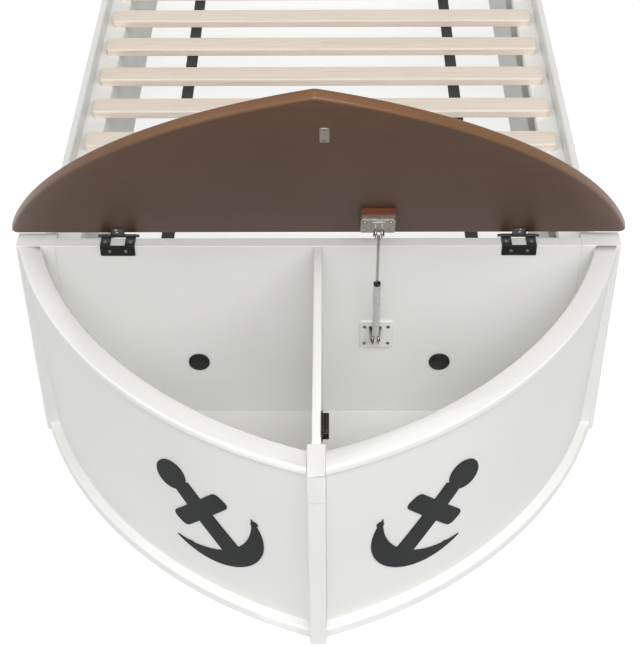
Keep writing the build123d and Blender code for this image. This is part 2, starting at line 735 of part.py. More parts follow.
# The pin travels toward the hinge and back while the lid turns
slot_travel = 8.4
slot_drop = 1.0
slot_height = 2 * strut_pin_radius + 3.0
slot_wall = 3.5
slot_y = shut_y + slot_travel / 2
slot_z = shut_z + slot_drop
fork_foot_width = 28.0
fork_foot_length = 34.0
fork_root = lid_plate_level - cheek_thickness
with BuildPart() as strut_lid_fork:
    with BuildSketch(lid_plane.offset(fork_root)):
        with Locations((strut_x, slot_y)):
            RectangleRounded(fork_foot_width, fork_foot_length, 4)
    extrude(amount=cheek_thickness)
    for cheek in (-fork_outer, cheek_gap / 2):
        with BuildSketch(lid_side_plane.offset(strut_x + cheek)):
            with Locations((slot_y, slot_z)):
                SlotCenterToCenter(slot_travel, slot_height + 2 * slot_wall)
            with Locations((slot_y, (slot_z + fork_root) / 2)):
                Rectangle(slot_travel + slot_height, fork_root - slot_z + cheek_thickness)
            with Locations((slot_y, slot_z)):
                SlotCenterToCenter(slot_travel, slot_height, mode=Mode.SUBTRACT)
        extrude(amount=cheek_thickness)
strut_lid_fork.part.label = "strut_lid_fork"
export_step(strut_lid_fork.part, "parts/strut_lid_fork.step")

wall_screw_spacing = (44.0, 40.0)
lid_screw_spacing = (44.0, 44.0)
with BuildPart() as strut_wall_screws:
    with BuildSketch(Plane((wall_plate_x, wall_plate_face, wall_plate_z), x_dir=(1, 0, 0), z_dir=(0, -1, 0))):
        with GridLocations(*wall_screw_spacing, 2, 2):
            Circle(screw_head)
    extrude(amount=screw_head_height)
strut_wall_screws.part.label = "strut_wall_screws"
export_step(strut_wall_screws.part, "parts/strut_wall_screws.step")

with BuildPart() as strut_lid_screws:
    with BuildSketch(lid_plane.offset(lid_plate_level)):
        with Locations((spacer_x, lid_plate_middle)):
            with GridLocations(*lid_screw_spacing, 2, 2):
                Circle(screw_head)
    extrude(amount=-screw_head_height)
strut_lid_screws.part.label = "strut_lid_screws"
export_step(strut_lid_screws.part, "parts/strut_lid_screws.step")

# Side rails with slat ledges, and recessed plinth boards; the right plinth leaves a slot below its ledge
rail_span = head_y - post_back
rail_middle = (head_y + post_back) / 2
for side, hand in sides:
    with BuildPart() as side_rail:
        with Locations((side * (rail_inner + half_width) / 2, rail_middle, (rail_bottom + rail_top) / 2)):
            Box(half_width - rail_inner, rail_span, rail_top - rail_bottom)
        fillet(side_rail.edges().filter_by(Axis.Y).group_by(Axis.Z)[-1], 5)
    side_rail.part.label = f"side_rail_{hand}"
    export_step(side_rail.part, f"parts/side_rail_{hand}.step")

    with BuildPart() as slat_ledge:
        with Locations((side * (ledge_inner + rail_inner) / 2, rail_middle, ledge_top - ledge_thickness / 2)):
            Box(rail_inner - ledge_inner, rail_span, ledge_thickness)
        top_edges = slat_ledge.edges().filter_by(Axis.Y).group_by(Axis.Z)[-1]
        fillet(top_edges.sort_by(Axis.X)[0 if side > 0 else -1], 3)
    slat_ledge.part.label = f"slat_ledge_{hand}"
    export_step(slat_ledge.part, f"parts/slat_ledge_{hand}.step")

    plinth_top = plinth_top_right if side > 0 else ledge_top - ledge_thickness
    with BuildPart() as plinth:
        with Locations((side * (ledge_inner + plinth_outer) / 2, rail_middle, plinth_top / 2)):
            Box(plinth_outer - ledge_inner, rail_span, plinth_top)
    plinth.part.label = f"plinth_{hand}"
    export_step(plinth.part, f"parts/plinth_{hand}.step")

# Slats: flat boards with rounded top edges and bowed ends, held at their spacing by two straps
slat_run = slat_pitch * (slat_count - 1) + slat_width
slat_middle = slat_first_y + slat_run / 2
with BuildPart() as slats:
    with BuildSketch(Plane.XY.offset(ledge_top)):
        with Locations((0, slat_middle)):
            with GridLocations(1, slat_pitch, 1, slat_count):
                Rectangle(2 * slat_half, slat_width)
    extrude(amount=slat_thickness)
    fillet(slats.edges().filter_by(Axis.Z), 12)
    fillet(slats.edges().filter_by(Axis.X).group_by(Axis.Z)[-1], 4)
slats.part.label = "slats"
export_step(slats.part, "parts/slats.step")

for side, hand in sides:
    with BuildPart() as strap:
        with Locations((side * strap_x, slat_middle, ledge_top - strap_thickness / 2)):
            Box(strap_width, slat_run, strap_thickness)
    strap.part.label = f"strap_{hand}"
    export_step(strap.part, f"parts/strap_{hand}.step")

# Headboard: two posts, an arched top rail, a bottom rail and a thin panel between them
for side, hand in sides:
    with BuildPart() as headboard_post:
        with Locations((side * (post_inner + half_width) / 2, head_y + headboard_depth / 2, post_top / 2)):
            Box(half_width - post_inner, headboard_depth, post_top)
        fillet(headboard_post.edges().filter_by(Axis.Z), edge_round)
        fillet(headboard_post.edges().group_by(Axis.Z)[-1], edge_round)
    headboard_post.part.label = f"headboard_post_{hand}"
    export_step(headboard_post.part, f"parts/headboard_post_{hand}.step")

rail_inset = 6.0
board_front = Plane((0, head_y + rail_inset, 0), x_dir=(1, 0, 0), z_dir=(0, -1, 0))
board_depth = headboard_depth - 2 * rail_inset
spring = headboard_top - headboard_arch
with BuildPart() as headboard_top_rail:
    with BuildSketch(board_front):
        with BuildLine():
            Polyline(
                (-post_inner, spring), (-post_inner, spring - headboard_rail),
                (post_inner, spring - headboard_rail), (post_inner, spring),
            )
            ThreePointArc((post_inner, spring), (0, headboard_top), (-post_inner, spring))
        make_face()
    extrude(amount=-board_depth)
headboard_top_rail.part.label = "headboard_top_rail"
export_step(headboard_top_rail.part, "parts/headboard_top_rail.step")

with BuildPart() as headboard_bottom_rail:
    with BuildSketch(board_front):
        with Locations((0, (rail_bottom + rail_top) / 2)):
            Rectangle(2 * post_inner, rail_top - rail_bottom)
    extrude(amount=-board_depth)
headboard_bottom_rail.part.label = "headboard_bottom_rail"
export_step(headboard_bottom_rail.part, "parts/headboard_bottom_rail.step")

panel_to = spring - headboard_rail
with BuildPart() as headboard_panel:
    with Locations((0, head_y + headboard_depth / 2, (rail_top + panel_to) / 2)):
        Box(2 * post_inner, headboard_panel_thickness, panel_to - rail_top)
headboard_panel.part.label = "headboard_panel"
export_step(headboard_panel.part, "parts/headboard_panel.step")
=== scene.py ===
import json
from math import cos, hypot, pi, radians, sin, sqrt
import bmesh
import bpy
from mathutils import Matrix, Vector


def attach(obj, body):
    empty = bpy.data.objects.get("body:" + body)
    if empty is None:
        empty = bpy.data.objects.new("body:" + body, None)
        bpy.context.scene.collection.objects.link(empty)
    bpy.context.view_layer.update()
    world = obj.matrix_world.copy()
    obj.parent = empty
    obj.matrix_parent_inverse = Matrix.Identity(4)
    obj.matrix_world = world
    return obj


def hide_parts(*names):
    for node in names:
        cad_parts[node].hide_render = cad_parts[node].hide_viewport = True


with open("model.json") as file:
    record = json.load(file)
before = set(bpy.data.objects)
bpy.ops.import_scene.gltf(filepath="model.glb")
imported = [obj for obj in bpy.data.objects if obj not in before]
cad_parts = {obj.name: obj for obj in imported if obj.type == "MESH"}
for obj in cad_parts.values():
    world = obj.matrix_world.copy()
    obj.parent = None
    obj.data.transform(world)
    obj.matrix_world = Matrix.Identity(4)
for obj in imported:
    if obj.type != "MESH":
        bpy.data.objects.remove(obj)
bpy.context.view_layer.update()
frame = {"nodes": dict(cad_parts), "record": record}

print("frame loaded")

# Which body and which finish each part of the frame has
bodyOfNode = {node: body for body, nodes in frame["record"]["behaviour"]["bodies"].items() for node in nodes}
slotOfNode = {row["node"]: row["material_slot"] for row in frame["record"]["subparts"]}
finishOfSlot = {}

# The camera stands where the photograph was taken from: turned, tipped down, then rolled
cameraStand = {
    "lens": 80.64, "place": (0.0231, -2.7989, 2.0504), "turn": 0.576, "down": 40.62, "roll": -0.45,
}
cameraData = bpy.data.cameras.new("camera")
cameraData.lens = cameraStand["lens"]
camera = bpy.data.objects.new("camera", cameraData)
bpy.context.scene.collection.objects.link(camera)
camera.matrix_world = (
    Matrix.Translation(cameraStand["place"])
    @ Matrix.Rotation(radians(cameraStand["turn"]), 4, "Z")
    @ Matrix.Rotation(radians(90 - cameraStand["down"]), 4, "X")
    @ Matrix.Rotation(radians(cameraStand["roll"]), 4, "Z")
)
bpy.context.scene.camera = camera
bpy.context.scene.view_settings.view_transform = "Standard"


def toLinear(hexColour):
    parts = [int(hexColour[i:i + 2], 16) / 255 for i in (1, 3, 5)]
    return [v / 12.92 if v <= 0.04045 else ((v + 0.055) / 1.055) ** 2.4 for v in parts] + [1]


def addNode(tree, kind, settings=None, links=None):
    node = tree.nodes.new(kind)
    for name, value in (settings or {}).items():
        if isinstance(name, str) and hasattr(node, name):
            setattr(node, name, value)
        else:
            node.inputs[name].default_value = value
    for name, socket in (links or {}).items():
        tree.links.new(socket, node.inputs[name])
    return node


def startMaterial(name, sockets):
    material = bpy.data.materials.new(name)
    material.use_nodes = True
    tree = material.node_tree
    shader = tree.nodes["Principled BSDF"]
    for socket, value in sockets.items():
        shader.inputs[socket].default_value = value
    place = addNode(tree, "ShaderNodeTexCoord").outputs["Object"]
    return material, tree, shader, place


def perMetre(size):
    return 1000 / size


# Satin white lacquer sprayed on board: clean and even, with a faint stipple in its sheen
whiteLacquer = {
    "colour": "#ececea", "shade": "#e5e5e2", "patch": 260, "stipple": 1.8, "stippleHeight": 0.02,
    "roughLow": 0.34, "roughHigh": 0.44,
}
whiteMaterial, tree, shader, place = startMaterial("Satin white lacquer, sprayed", {"IOR": 1.5})
patch = addNode(
    tree, "ShaderNodeTexNoise", {"Scale": perMetre(whiteLacquer["patch"]), "Detail": 3.0}, {"Vector": place}
)
tone = addNode(
    tree, "ShaderNodeMix",
    {"data_type": "RGBA", 6: toLinear(whiteLacquer["colour"]), 7: toLinear(whiteLacquer["shade"])},
    {0: patch.outputs["Fac"]},
)
sheen = addNode(
    tree, "ShaderNodeMapRange", {"To Min": whiteLacquer["roughLow"], "To Max": whiteLacquer["roughHigh"]},
    {"Value": patch.outputs["Fac"]},
)
stipple = addNode(
    tree, "ShaderNodeTexNoise", {"Scale": perMetre(whiteLacquer["stipple"]), "Detail": 2.0}, {"Vector": place}
)
skin = addNode(
    tree, "ShaderNodeBump", {"Distance": whiteLacquer["stippleHeight"] / 1000},
    {"Height": stipple.outputs["Fac"]},
)
tree.links.new(tone.outputs[2], shader.inputs["Base Color"])
tree.links.new(sheen.outputs[0], shader.inputs["Roughness"])
tree.links.new(skin.outputs[0], shader.inputs["Normal"])
finishOfSlot["white_paint"] = whiteMaterial


def stainedWood(name, wood):
    material, tree, shader, place = startMaterial(name, {"IOR": 1.5, "Roughness": wood["roughness"]})
    across = perMetre(wood["grainWidth"])
    fibres = addNode(
        tree, "ShaderNodeMapping", {"Scale": (perMetre(wood["grainLength"]), across, across)},
        {"Vector": place}
    )
    grain = addNode(
        tree, "ShaderNodeTexNoise", {"Scale": 1.0, "Detail": 4.0, "Distortion": 0.5},
        {"Vector": fibres.outputs[0]}
    )
    blotch = addNode(
        tree, "ShaderNodeTexNoise", {"Scale": perMetre(wood["blotch"]), "Detail": 2.0}, {"Vector": place}
    )
    soak = addNode(
        tree, "ShaderNodeMix",
        {"data_type": "RGBA", 6: toLinear(wood["colour"]), 7: toLinear(wood["blotchColour"])},
        {0: blotch.outputs["Fac"]},
    )
    darker = addNode(
        tree, "ShaderNodeMapRange", {"From Min": 0.45, "From Max": 0.7, "To Max": wood["grainStrength"]},
        {"Value": grain.outputs["Fac"]},
    )
    streak = addNode(
        tree, "ShaderNodeMix", {"data_type": "RGBA", 7: toLinear(wood["grainColour"])},
        {0: darker.outputs[0], 6: soak.outputs[2]},
    )
    pores = addNode(
        tree, "ShaderNodeBump", {"Distance": wood["poreHeight"] / 1000}, {"Height": grain.outputs["Fac"]}
    )
    tree.links.new(streak.outputs[2], shader.inputs["Base Color"])
    tree.links.new(pores.outputs[0], shader.inputs["Normal"])
    return material


# Walnut-stained ply under satin lacquer: fine grain across the bed, blotched where the stain soaked in
lidFace = stainedWood("Stained plywood, satin lacquer", {
    "colour": "#50351c", "blotchColour": "#5c3214", "grainColour": "#34200f", "grainWidth": 1.6,
    "grainLength": 80, "grainStrength": 0.6, "blotch": 110, "poreHeight": 0.02, "roughness": 0.48,
})
# The board's edge took the stain lighter and more golden
lidEdge = stainedWood("Stained lipping, satin lacquer", {
    "colour": "#714c24", "blotchColour": "#633e1b", "grainColour": "#4a2d12", "grainWidth": 1.2,
    "grainLength": 60, "grainStrength": 0.5, "blotch": 160, "poreHeight": 0.02, "roughness": 0.36,
})
# The spacer block is solid wood with the same stain, redder on its cut faces
spacerWood = stainedWood("Stained block, satin lacquer", {
    "colour": "#5c2a14", "blotchColour": "#6b3519", "grainColour": "#34140a", "grainWidth": 1.0,
    "grainLength": 30, "grainStrength": 0.5, "blotch": 40, "poreHeight": 0.02, "roughness": 0.25,
})
finishOfSlot["stained_lid"] = lidFace
finishOfSlot["stained_block"] = spacerWood

# Bare poplar slats: pale, straight grain along each slat, every slat a slightly different tone
slatWood = {
    "colour": "#ece4d9", "warm": "#e6d9c8", "grainColour": "#d3c1a8", "grainWidth": 2.6, "grainLength": 160,
    "fleck": 0.7, "fleckLength": 14, "pitch": 136, "poreHeight": 0.03, "roughness": 0.55,
}
slatMaterial, tree, shader, place = startMaterial(
    "Poplar, planed and bare", {"IOR": 1.45, "Roughness": slatWood["roughness"]}
)
perSlat = addNode(
    tree, "ShaderNodeVectorMath", {"operation": "SNAP", 1: (10, slatWood["pitch"] / 1000, 10)}, {0: place}
)
slatTone = addNode(tree, "ShaderNodeTexWhiteNoise", None, {"Vector": perSlat.outputs[0]})
shifted = addNode(
    tree, "ShaderNodeVectorMath", {"operation": "ADD"}, {0: place, 1: slatTone.outputs["Color"]}
)
across = perMetre(slatWood["grainWidth"])
fibres = addNode(
    tree, "ShaderNodeMapping", {"Scale": (perMetre(slatWood["grainLength"]), across, across)},
    {"Vector": shifted.outputs[0]},
)
grain = addNode(
    tree, "ShaderNodeTexNoise", {"Scale": 1.0, "Detail": 3.0, "Distortion": 0.8},
    {"Vector": fibres.outputs[0]}
)
across = perMetre(slatWood["fleck"])
flecks = addNode(
    tree, "ShaderNodeMapping", {"Scale": (perMetre(slatWood["fleckLength"]), across, across)},
    {"Vector": shifted.outputs[0]},
)
fleck = addNode(tree, "ShaderNodeTexNoise", {"Scale": 1.0, "Detail": 1.0}, {"Vector": flecks.outputs[0]})
body = addNode(
    tree, "ShaderNodeMix",
    {"data_type": "RGBA", 6: toLinear(slatWood["colour"]), 7: toLinear(slatWood["warm"])},
    {0: slatTone.outputs["Value"]},
)
ring = addNode(
    tree, "ShaderNodeMapRange", {"From Min": 0.5, "From Max": 0.72, "To Max": 0.75},
    {"Value": grain.outputs["Fac"]}
)
ringed = addNode(
    tree, "ShaderNodeMix", {"data_type": "RGBA", 7: toLinear(slatWood["grainColour"])},
    {0: ring.outputs[0], 6: body.outputs[2]},
)
fleckShare = addNode(
    tree, "ShaderNodeMapRange", {"From Min": 0.6, "From Max": 0.8, "To Max": 0.4},
    {"Value": fleck.outputs["Fac"]}
)
flecked = addNode(
    tree, "ShaderNodeMix", {"data_type": "RGBA", 7: toLinear(slatWood["grainColour"])},
    {0: fleckShare.outputs[0], 6: ringed.outputs[2]},
)
pores = addNode(
    tree, "ShaderNodeBump", {"Distance": slatWood["poreHeight"] / 1000}, {"Height": fleck.outputs["Fac"]}
)
tree.links.new(flecked.outputs[2], shader.inputs["Base Color"])
tree.links.new(pores.outputs[0], shader.inputs["Normal"])
finishOfSlot["pale_slat"] = slatMaterial

# Woven polypropylene webbing: black, ribs across the strap, with painted shade in the hollows between them:
# the colour darkens where the weave's relief is low
webbing = {"colour": "#1d1d1e", "valley": "#0a0a0b", "rib": 2.4, "thread": 1.7, "ribHeight": 0.25}
strapMaterial, tree, shader, place = startMaterial(
    "Polypropylene webbing, woven", {"IOR": 1.49, "Roughness": 0.6}
)
turn = addNode(
    tree, "ShaderNodeMapping",
    {"Scale": (2 * pi * perMetre(webbing["thread"]), 2 * pi * perMetre(webbing["rib"]), 0)},
    {"Vector": place},
)
parts = addNode(tree, "ShaderNodeSeparateXYZ", None, {0: turn.outputs[0]})
ribs = addNode(tree, "ShaderNodeMath", {"operation": "SINE"}, {0: parts.outputs["Y"]})
threads = addNode(tree, "ShaderNodeMath", {"operation": "SINE"}, {0: parts.outputs["X"]})
weave = addNode(
    tree, "ShaderNodeMath", {"operation": "MULTIPLY"}, {0: ribs.outputs[0], 1: threads.outputs[0]}
)
relief = addNode(
    tree, "ShaderNodeMapRange", {"From Min": -1.0, "From Max": 1.0}, {"Value": weave.outputs[0]}
)
# Painted shade: the low parts of the weave relief take the darker colour, so its hollows read shaded
weaveShading = addNode(
    tree, "ShaderNodeMix",
    {"data_type": "RGBA", 6: toLinear(webbing["valley"]), 7: toLinear(webbing["colour"])},
    {0: relief.outputs[0]},
)
cloth = addNode(
    tree, "ShaderNodeBump", {"Distance": webbing["ribHeight"] / 1000}, {"Height": relief.outputs[0]}
)
tree.links.new(weaveShading.outputs[2], shader.inputs["Base Color"])
tree.links.new(cloth.outputs[0], shader.inputs["Normal"])
finishOfSlot["strap_web"] = strapMaterial


def hardwareFinish(name, look):
    sockets = {"IOR": look.get("ior", 1.5), "Metallic": look.get("metallic", 0.0)}
    material, tree, shader, place = startMaterial(name, sockets)
    stretch = look.get("stretch", (1, 1, 1))
    spread = addNode(tree, "ShaderNodeMapping", {"Scale": stretch}, {"Vector": place})
    cloud = addNode(
        tree, "ShaderNodeTexNoise", {"Scale": perMetre(look["cloud"]), "Detail": 3.0},
        {"Vector": spread.outputs[0]}
    )
    tone = addNode(
        tree, "ShaderNodeMix",
        {"data_type": "RGBA", 6: toLinear(look["colour"]), 7: toLinear(look["worn"])},
        {0: cloud.outputs["Fac"]},
    )
    sheen = addNode(
        tree, "ShaderNodeMapRange", {"To Min": look["roughness"][0], "To Max": look["roughness"][1]},
        {"Value": cloud.outputs["Fac"]},
    )
    grit = addNode(
        tree, "ShaderNodeTexNoise", {"Scale": perMetre(look["grit"]), "Detail": 2.0},
        {"Vector": spread.outputs[0]}
    )
    relief = addNode(
        tree, "ShaderNodeBump", {"Distance": look["gritHeight"] / 1000}, {"Height": grit.outputs["Fac"]}
    )
    tree.links.new(tone.outputs[2], shader.inputs["Base Color"])
    tree.links.new(sheen.outputs[0], shader.inputs["Roughness"])
    tree.links.new(relief.outputs[0], shader.inputs["Normal"])
    return material


# Matt navy paint on thin board: almost black, a soft even surface
finishOfSlot["navy_board"] = hardwareFinish("Navy paint on board, matt", {
    "colour": "#050809", "worn": "#080b0d", "roughness": (0.7, 0.8), "cloud": 45, "grit": 1.4,
    "gritHeight": 0.02, "ior": 1.4,
})
# Black electrophoretic coating on pressed steel: satin, with a tight highlight on its bends
finishOfSlot["black_steel"] = hardwareFinish("Black coated steel, pressed", {
    "colour": "#0d0d0d", "worn": "#191918", "roughness": (0.25, 0.38), "cloud": 14, "grit": 0.8,
    "gritHeight": 0.008,
})
# Nickel-plated steel screws, turned: bright with soft spots
finishOfSlot["screw_steel"] = hardwareFinish("Nickel-plated steel, turned", {
    "colour": "#a6a49f", "worn": "#7e7c77", "roughness": (0.22, 0.36), "cloud": 5, "grit": 0.5,
    "gritHeight": 0.006, "metallic": 1.0,
})
# Moulded ABS: black, slightly glossy with a fine spark texture
finishOfSlot["black_plastic"] = hardwareFinish("Black ABS, moulded", {
    "colour": "#0c0c0c", "worn": "#131313", "roughness": (0.28, 0.4), "cloud": 22, "grit": 0.7,
    "gritHeight": 0.015, "ior": 1.53,
})
finishOfSlot["catch_plastic"] = hardwareFinish("Dark brown ABS, moulded", {
    "colour": "#15120f", "worn": "#1e1a16", "roughness": (0.35, 0.5), "cloud": 18, "grit": 0.7,
    "gritHeight": 0.02, "ior": 1.53,
})
# Zinc-plated sheet steel, pressed: dull grey with a cloudy spangle
finishOfSlot["zinc_steel"] = hardwareFinish("Zinc-plated steel, pressed", {
    "colour": "#b3b1ab", "worn": "#8f8d86", "roughness": (0.26, 0.42), "cloud": 9, "grit": 0.6,
    "gritHeight": 0.008, "metallic": 1.0,
})
# Powder-coated plate: white, with the coating's orange peel
finishOfSlot["white_plate"] = hardwareFinish("White powder coat on steel", {
    "colour": "#e6e6e3", "worn": "#dfdfdb", "roughness": (0.3, 0.4), "cloud": 30, "grit": 2.2,
    "gritHeight": 0.03,
})
# Light grey enamel on the strut's drawn tube
finishOfSlot["tube_enamel"] = hardwareFinish("Grey enamel on drawn steel", {
    "colour": "#c9cac9", "worn": "#bfc0bf", "roughness": (0.22, 0.32), "cloud": 25, "grit": 1.5,
    "gritHeight": 0.01,
})
# Ground and chromed rod: bright, with fine lines round it
finishOfSlot["rod_chrome"] = hardwareFinish("Hard chrome, ground", {
    "colour": "#d4d4d2", "worn": "#c2c2c0", "roughness": (0.08, 0.16), "cloud": 20, "grit": 0.5,
    "gritHeight": 0.003, "metallic": 1.0,
})
print("materials ready")


def finishPiece(name, mesh, material, body, nodes=()):
    piece = bpy.data.objects.new(name, mesh)
    bpy.context.scene.collection.objects.link(piece)
    if material:
        mesh.materials.clear()
        mesh.materials.append(material)
    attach(piece, body)
    if nodes:
        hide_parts(*nodes)
    return piece


def camelName(node):
    words = node.split("_")
    return words[0] + "".join(word.capitalize() for word in words[1:])


# Every board and pressing gets its sharp edges eased by a real arris, in mm
easedEdges = {
    "white_paint": 1.2, "stained_lid": 0.8, "stained_block": 0.8, "pale_slat": 1.0, "navy_board": 0.5,
    "black_steel": 0.35, "zinc_steel": 0.3, "catch_plastic": 0.4, "black_plastic": 0.5, "white_plate": 0.4,
    "tube_enamel": 0.5, "rod_chrome": 0.4, "strap_web": 0.4, "screw_steel": 0.3,
}
sharpFrom = radians(32)
coplanarWithin = radians(0.03)
weldWithin = 0.00001
# These have their seen edges rounded already
roundedParts = (
    "rim_rail_left", "rim_rail_right", "base_rail_left", "base_rail_right", "lid", "vent_rings", "vent_caps",
)
# These get a shape of their own further down
screwNodes = ("hinge_wall_screws", "hinge_lid_screws", "strut_wall_screws", "strut_lid_screws")
remadeParts = ("anchor_left", "anchor_right", "strut_wall_fork") + screwNodes


def meshOf(shape, name):
    mesh = bpy.data.meshes.new(name)
    shape.to_mesh(mesh)
    shape.free()
    return mesh


def addArris(piece, width, segments):
    arris = piece.modifiers.new("Arris", "BEVEL")
    arris.width = width / 1000
    arris.segments = segments
    arris.limit_method = "ANGLE"
    arris.angle_limit = sharpFrom
    return arris


def easedCopy(node):
    slot = slotOfNode[node]
    shape = bmesh.new()
    shape.from_mesh(frame["nodes"][node].data)
    bmesh.ops.remove_doubles(shape, verts=shape.verts, dist=weldWithin)
    bmesh.ops.dissolve_limit(
        shape, angle_limit=coplanarWithin, verts=shape.verts, edges=shape.edges, use_dissolve_boundaries=False
    )
    for face in shape.faces:
        face.smooth = True
    mesh = meshOf(shape, camelName(node))
    mesh.set_sharp_from_angle(angle=sharpFrom)
    piece = finishPiece(camelName(node), mesh, finishOfSlot[slot], bodyOfNode[node], [node])
    if node not in roundedParts:
        arris = addArris(piece, easedEdges[slot], 2)
        arris.use_clamp_overlap = False
        arris.harden_normals = True
    return piece


pieces = {node: easedCopy(node) for node in frame["nodes"] if node not in remadeParts}
print(f"{len(pieces)} parts eased")

# The lid at rest, hinge in metres: its edge faces take the lighter stain of the lipping
lidStand = {"hinge": (0, -0.6875, 0.459), "open": 55, "edgeSlant": 0.75}
lidOpen = radians(lidStand["open"])
lidAcross = Matrix.Rotation(-lidOpen, 3, "X") @ Vector((0, 0, 1))
lidAlong = Vector((0, cos(lidOpen), -sin(lidOpen)))
lidDown = -lidAcross
lidMesh = pieces["lid"].data
lidMesh.materials.append(lidEdge)
for polygon in lidMesh.polygons:
    polygon.material_index = 1 if abs(polygon.normal.dot(lidAcross)) < lidStand["edgeSlant"] else 0


def joined(first, others, operation):
    base = bpy.data.objects.new("base", first)
    bpy.context.scene.collection.objects.link(base)
    tools = []
    for other in others:
        tool = bpy.data.objects.new("tool", other)
        bpy.context.scene.collection.objects.link(tool)
        cut = base.modifiers.new("Cut", "BOOLEAN")
        cut.operation = operation
        cut.solver = "EXACT"
        cut.object = tool
        tools.append(tool)
    depsgraph = bpy.context.evaluated_depsgraph_get()
    result = bpy.data.meshes.new_from_object(base.evaluated_get(depsgraph))
    for spare in [base] + tools:
        bpy.data.objects.remove(spare)
    return result


# Anchors, in mm: cut from thin board in the flat, then bent round the hull and laid on it
anchor = {
    "height": 237, "bearing": 57.2, "lean": 42, "thick": 2.0, "clear": 0.1, "strip": 9.0, "halfSpan": 160,
    "slab": 100, "arris": 0.4, "head": (0, 82, 38.5, 29.5, -20), "shank": (6.5, -28, 44, 180, 7.5),
    "stock": (2.5, 2.5, 154, 35, -6, 12), "arms": (13, -16, 115), "hollow": (12, 61, 150),
    "tips": ((-95, -51, 6.5), (106.5, -60.5, 6.0)), "flatWithin": 0.5,
    "facets": {"arms": 160, "head": 64, "tip": 24, "corner": 8},
}
# The hull's outer face as the construction sizes it: one arc at its foot and one at its top, in mm
hull = {
    "halfWidth": 540, "nose": 14.5, "wall": -692.5,
    "foot": {"height": 20, "railRadius": 831, "railReach": 531, "radius": 813},
    "top": {"height": 444, "railRadius": 800, "railReach": 572, "radius": 795},
}
slab = anchor["slab"] / 1000
lean, bearing = radians(anchor["lean"]), radians(anchor["bearing"])
anchorOut = Vector((cos(bearing), -sin(bearing), 0))
anchorAcross = Vector((cos(lean) * sin(bearing), cos(lean) * cos(bearing), -sin(lean)))
anchorUp = anchorOut.cross(anchorAcross)


def arcCentre(arc):
    run = hull["halfWidth"] - hull["nose"]
    chord = hypot(run, arc["railReach"])
    rise = sqrt(arc["railRadius"] ** 2 - chord ** 2 / 4)
    x = (hull["halfWidth"] + hull["nose"]) / 2 - rise * arc["railReach"] / chord
    y = hull["wall"] - arc["railReach"] / 2 + rise * run / chord
    return Vector((x / 1000, y / 1000))


def hullArc(height):
    foot, top = hull["foot"], hull["top"]
    share = (height * 1000 - foot["height"]) / (top["height"] - foot["height"])
    radius = foot["radius"] + (top["radius"] - foot["radius"]) * share
    return arcCentre(foot).lerp(arcCentre(top), share), radius / 1000


def hullDepth(point):
    centre, radius = hullArc(point.z)
    away = point.to_2d() - centre
    along = away.dot(anchorOut.to_2d())
    return -along + (along ** 2 - away.length_squared + radius ** 2) ** 0.5


def flatPlace(x, y, turnedBy):
    return Matrix.Translation((x / 1000, y / 1000, 0)) @ Matrix.Rotation(radians(turnedBy), 4, "Z")


def roundPlate(x, y, halfWide, halfHigh, turnedBy, name):
    shape = bmesh.new()
    bmesh.ops.create_cone(
        shape, cap_ends=True, segments=anchor["facets"][name], radius1=1, radius2=1, depth=slab,
        matrix=flatPlace(x, y, turnedBy) @ Matrix.Diagonal((halfWide / 1000, halfHigh / 1000, 1, 1)),
    )
    return meshOf(shape, name)


def roundedBar(x, y, length, width, turnedBy, corner, name):
    shape = bmesh.new()
    bmesh.ops.create_cube(
        shape, size=1,
        matrix=flatPlace(x, y, turnedBy) @ Matrix.Diagonal((length / 1000, width / 1000, slab, 1)),
    )
    if corner:
        upright = [edge for edge in shape.edges if abs((edge.verts[0].co - edge.verts[1].co).z) > slab / 2]
        bmesh.ops.bevel(
            shape, geom=upright, offset=corner / 1000, segments=anchor["facets"]["corner"], profile=0.5,
            affect="EDGES", material=-1,
        )
    return meshOf(shape, name)


def cutAnchor():
    x, y, radius = anchor["arms"]
    arms = roundPlate(x, y, radius, radius, 0, "arms")
    x, y, radius = anchor["hollow"]
    arms = joined(arms, [roundPlate(x, y, radius, radius, 0, "arms")], "DIFFERENCE")
    x, y, wide, length, turned = anchor["shank"]
    others = [
        roundPlate(*anchor["head"], "head"),
        roundedBar(x, y, length, wide, 90 + turned, 0, "shank"),
        roundedBar(*anchor["stock"], "stock"),
    ]
    others += [roundPlate(x, y, size, size, 0, "tip") for x, y, size in anchor["tips"]]
    flat = joined(arms, others, "UNION")
    shape = bmesh.new()
    shape.from_mesh(flat)
    bmesh.ops.dissolve_limit(
        shape, angle_limit=radians(anchor["flatWithin"]), verts=shape.verts, edges=shape.edges
    )
    level = Vector((cos(lean), sin(lean), 0))
    strips = int(anchor["halfSpan"] / anchor["strip"])
    for count in range(-strips, strips + 1):
        bmesh.ops.bisect_plane(
            shape, geom=shape.verts[:] + shape.edges[:] + shape.faces[:], dist=weldWithin,
            plane_co=level * count * anchor["strip"] / 1000, plane_no=level,
        )
    middle, radius = hullArc(anchor["height"] / 1000)
    centre = (middle + anchorOut.to_2d() * radius).to_3d() + Vector((0, 0, anchor["height"] / 1000))
    for vert in shape.verts:
        lift = anchor["thick"] if vert.co.z > 0 else anchor["clear"]
        point = centre + anchorAcross * vert.co.x + anchorUp * vert.co.y
        vert.co = point + anchorOut * (hullDepth(point) + lift / 1000)
    return shape


for side, hand in ((1, "Right"), (-1, "Left")):
    shape = cutAnchor()
    bmesh.ops.scale(shape, verts=shape.verts, vec=(side, 1, 1))
    bmesh.ops.recalc_face_normals(shape, faces=shape.faces)
    board = finishPiece(
        "anchor" + hand, meshOf(shape, "anchor" + hand), finishOfSlot["navy_board"], "root",
        ["anchor_" + hand.lower()],
    )
    addArris(board, anchor["arris"], 1)
print("anchors laid on the hull")

